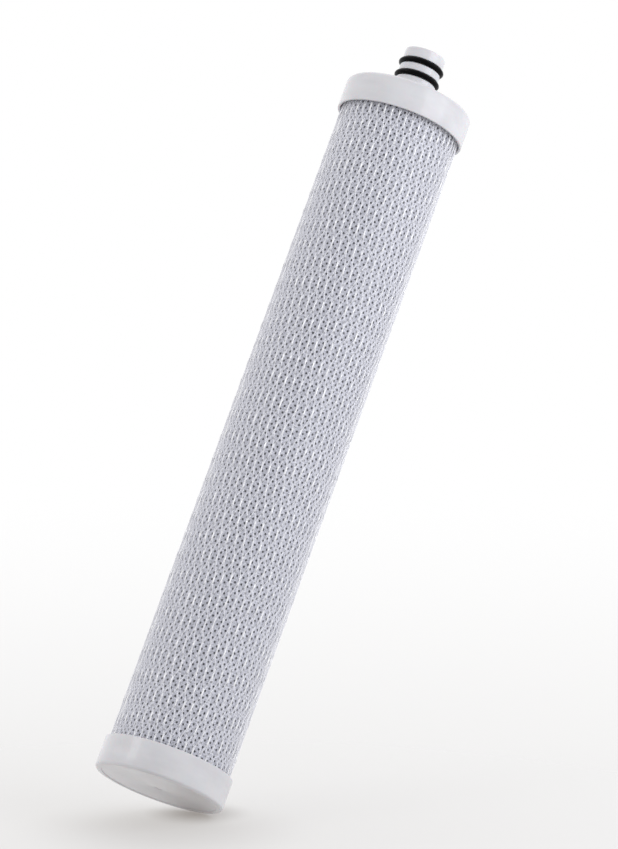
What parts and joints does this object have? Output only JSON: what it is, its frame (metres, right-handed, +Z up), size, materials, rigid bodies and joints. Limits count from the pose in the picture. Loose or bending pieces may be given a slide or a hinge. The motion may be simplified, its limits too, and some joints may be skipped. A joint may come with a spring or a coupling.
{
  "type": "inline water filter",
  "caption": "Slim drop-in water filter cartridge: netted carbon block between two round end caps, with an O-ring sealed outlet spigot.",
  "frame": {"origin": "centre of the closed end cap's foot ring, on the surface the cartridge stands on", "axes": "+Z up the cartridge's axis, from the closed end cap to the outlet spigot; X and Y are alike, as the object is round"},
  "size_m": [0.05, 0.05, 0.3048],
  "materials": {
    "white_plastic": "satin moulded polypropylene",
    "black_rubber": "smooth nitrile rubber, lightly greased",
    "white_netting": "extruded polyethylene netting, slightly translucent",
    "white_nonwoven": "point-bonded nonwoven polypropylene",
    "black_carbon": "sintered carbon powder, matt and fine-grained",
    "clear_adhesive": "hot-melt adhesive, milky"
  },
  "bodies": {
    "root": {"top_end_cap": "white_plastic", "bottom_end_cap": "white_plastic", "lower_o_ring": "black_rubber", "upper_o_ring": "black_rubber", "outer_netting": "white_netting", "outer_wrap": "white_nonwoven", "carbon_block": "black_carbon", "inner_wrap": "white_nonwoven", "top_adhesive": "clear_adhesive", "bottom_adhesive": "clear_adhesive"}
  },
  "joints": []
}
